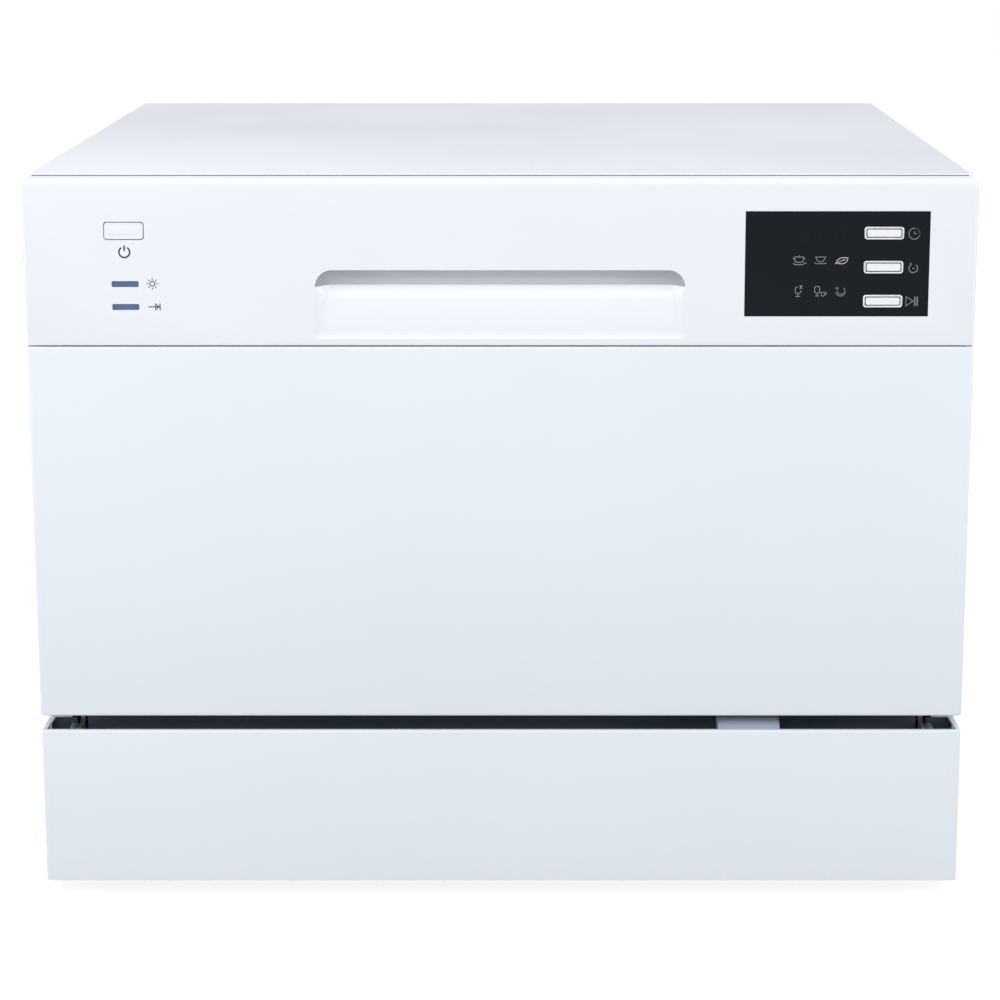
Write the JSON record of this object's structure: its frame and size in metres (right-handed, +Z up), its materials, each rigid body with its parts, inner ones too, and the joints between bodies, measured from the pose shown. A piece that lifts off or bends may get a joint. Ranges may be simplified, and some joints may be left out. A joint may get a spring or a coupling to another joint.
{
  "type": "countertop dishwasher",
  "caption": "Compact countertop dishwasher with a drop-down door, a recessed handle, a rolling wire rack, a cutlery basket and a rotating spray arm.",
  "frame": {"origin": "on the worktop, under the middle of the machine's bounding box", "axes": "+Z up, the door faces -Y, +X is to the right when looking at the door"},
  "size_m": [0.55, 0.5, 0.438],
  "materials": {
    "painted_white": "smooth white enamel paint, semi-gloss",
    "console_white": "white moulded ABS, fine satin",
    "key_white": "white moulded ABS",
    "tray_dark": "dark moulded polypropylene",
    "stainless": "satin stainless steel",
    "spring_steel": "drawn spring steel",
    "zinc": "zinc-coated steel",
    "rubber_dark": "moulded rubber",
    "filter_grey": "grey polypropylene",
    "arm_grey": "light grey polypropylene",
    "basket_grey": "grey polypropylene",
    "rack_coat": "grey nylon-coated steel wire",
    "dispenser_grey": "light grey plastic",
    "lid_white": "off-white plastic",
    "cap_blue": "dark blue plastic",
    "catch_blue": "mid blue plastic",
    "window_black": "glossy black acrylic",
    "frame_chrome": "satin chrome",
    "lens_blue": "tinted light guide",
    "board_green": "circuit board lacquer",
    "duct_grey": "light grey plastic",
    "valve_white": "ivory nylon",
    "break_clear": "natural polypropylene"
  },
  "bodies": {
    "cabinet": {"base_tray": "tray_dark", "feet": "rubber_dark", "plinth": "painted_white", "left_side_panel": "painted_white", "right_side_panel": "painted_white", "top_cover": "painted_white", "back_panel": "zinc", "panel_screws": "spring_steel", "tub": "stainless", "door_gasket": "rubber_dark", "sump": "tray_dark", "main_filter": "stainless", "spray_spindle": "arm_grey", "spray_arm_nut": "filter_grey", "wash_pump": "tray_dark", "drain_pump": "tray_dark", "inner_hoses": "rubber_dark", "drain_outlet": "filter_grey", "inlet_valve": "valve_white", "air_break": "break_clear", "cord_gland": "rubber_dark", "float_switch": "tray_dark", "control_box": "duct_grey", "harness_duct": "duct_grey", "hinge_brackets": "zinc", "door_springs": "spring_steel", "latch_strike": "zinc"},
    "door": {"door_panel": "painted_white", "console": "console_white", "handle_pocket": "console_white", "inner_door": "stainless", "door_screws": "spring_steel", "hinge_arms": "zinc", "door_lock": "tray_dark", "door_sill_seal": "rubber_dark", "display_window": "window_black", "display_board": "board_green", "key_frames": "frame_chrome", "indicator_lenses": "lens_blue", "dispenser": "dispenser_grey"},
    "rack": {"dish_rack": "rack_coat", "plate_tines": "rack_coat", "cutlery_basket": "basket_grey", "wheel_clips": "basket_grey"},
    "spray_arm": {"spray_arm": "arm_grey"},
    "filter_cup": {"filter_cup": "filter_grey"},
    "float": {"float": "valve_white"},
    "pump_impeller": {"pump_impeller": "filter_grey"},
    "power_button": {"power_button": "key_white"},
    "delay_key": {"delay_key": "key_white"},
    "program_key": {"program_key": "key_white"},
    "start_key": {"start_key": "key_white"},
    "detergent_lid": {"detergent_lid": "lid_white"},
    "lid_catch": {"lid_catch": "catch_blue"},
    "rinse_aid_cap": {"rinse_aid_cap": "cap_blue"},
    "cup_shelf": {"cup_shelf": "rack_coat"},
    "wheel_front_left": {"wheel_front_left": "basket_grey"},
    "wheel_front_right": {"wheel_front_right": "basket_grey"},
    "wheel_rear_left": {"wheel_rear_left": "basket_grey"},
    "wheel_rear_right": {"wheel_rear_right": "basket_grey"}
  },
  "joints": [
    {"name": "door_hinge", "type": "hinge", "parent": "cabinet", "child": "door", "pos_m": [0, -0.2331, 0.0955], "axis": [1, 0, 0], "range_deg": [0, 90], "stiffness_Nm_per_rad": 3.6, "deforming": ["door_springs"]},
    {"name": "rack_slide", "type": "slide", "parent": "cabinet", "child": "rack", "axis": [0, -1, 0], "range_m": [0, 0.0915]},
    {"name": "wheel_front_left_roll", "type": "hinge", "parent": "rack", "child": "wheel_front_left", "pos_m": [-0.2326, -0.13953, 0.1368], "axis": [1, 0, 0], "continuous": true},
    {"name": "wheel_front_right_roll", "type": "hinge", "parent": "rack", "child": "wheel_front_right", "pos_m": [0.2326, -0.13953, 0.1368], "axis": [1, 0, 0], "continuous": true},
    {"name": "wheel_rear_left_roll", "type": "hinge", "parent": "rack", "child": "wheel_rear_left", "pos_m": [-0.2326, 0.13443, 0.1368], "axis": [1, 0, 0], "continuous": true},
    {"name": "wheel_rear_right_roll", "type": "hinge", "parent": "rack", "child": "wheel_rear_right", "pos_m": [0.2326, 0.13443, 0.1368], "axis": [1, 0, 0], "continuous": true},
    {"name": "cup_shelf_fold", "type": "hinge", "parent": "rack", "child": "cup_shelf", "pos_m": [0.216, 0, 0.2738], "axis": [0, 1, 0], "range_deg": [0, 85]},
    {"name": "spray_arm_spin", "type": "hinge", "parent": "cabinet", "child": "spray_arm", "pos_m": [0, -0.00645, 0.1275], "axis": [0, 0, 1], "continuous": true},
    {"name": "filter_twist", "type": "hinge", "parent": "cabinet", "child": "filter_cup", "pos_m": [0.046, -0.03645, 0.067], "axis": [0, 0, 1], "range_deg": [0, 60]},
    {"name": "float_lift", "type": "slide", "parent": "cabinet", "child": "float", "axis": [0, 0, 1], "range_m": [0, 0.008]},
    {"name": "impeller_spin", "type": "hinge", "parent": "cabinet", "child": "pump_impeller", "pos_m": [0.046, 0.06355, 0.053], "axis": [0, 1, 0], "continuous": true},
    {"name": "power_button_press", "type": "slide", "parent": "door", "child": "power_button", "axis": [0, 1, 0], "range_m": [0, 0.0015], "stiffness_N_per_m": 500},
    {"name": "delay_key_press", "type": "slide", "parent": "door", "child": "delay_key", "axis": [0, 1, 0], "range_m": [0, 0.0015], "stiffness_N_per_m": 500},
    {"name": "program_key_press", "type": "slide", "parent": "door", "child": "program_key", "axis": [0, 1, 0], "range_m": [0, 0.0015], "stiffness_N_per_m": 500},
    {"name": "start_key_press", "type": "slide", "parent": "door", "child": "start_key", "axis": [0, 1, 0], "range_m": [0, 0.0015], "stiffness_N_per_m": 500},
    {"name": "lid_slide", "type": "slide", "parent": "door", "child": "detergent_lid", "axis": [0, 0, 1], "range_m": [0, 0.046]},
    {"name": "lid_catch_press", "type": "slide", "parent": "door", "child": "lid_catch", "axis": [0, -1, 0], "range_m": [0, 0.002], "stiffness_N_per_m": 400},
    {"name": "rinse_cap_twist", "type": "hinge", "parent": "door", "child": "rinse_aid_cap", "pos_m": [0.023, -0.2021, 0.24575], "axis": [0, 1, 0], "range_deg": [0, 90]}
  ],
  "couplings": [
    {"joint": "rack_slide", "follows": "door_hinge", "m_per_rad": 0.058}
  ]
}
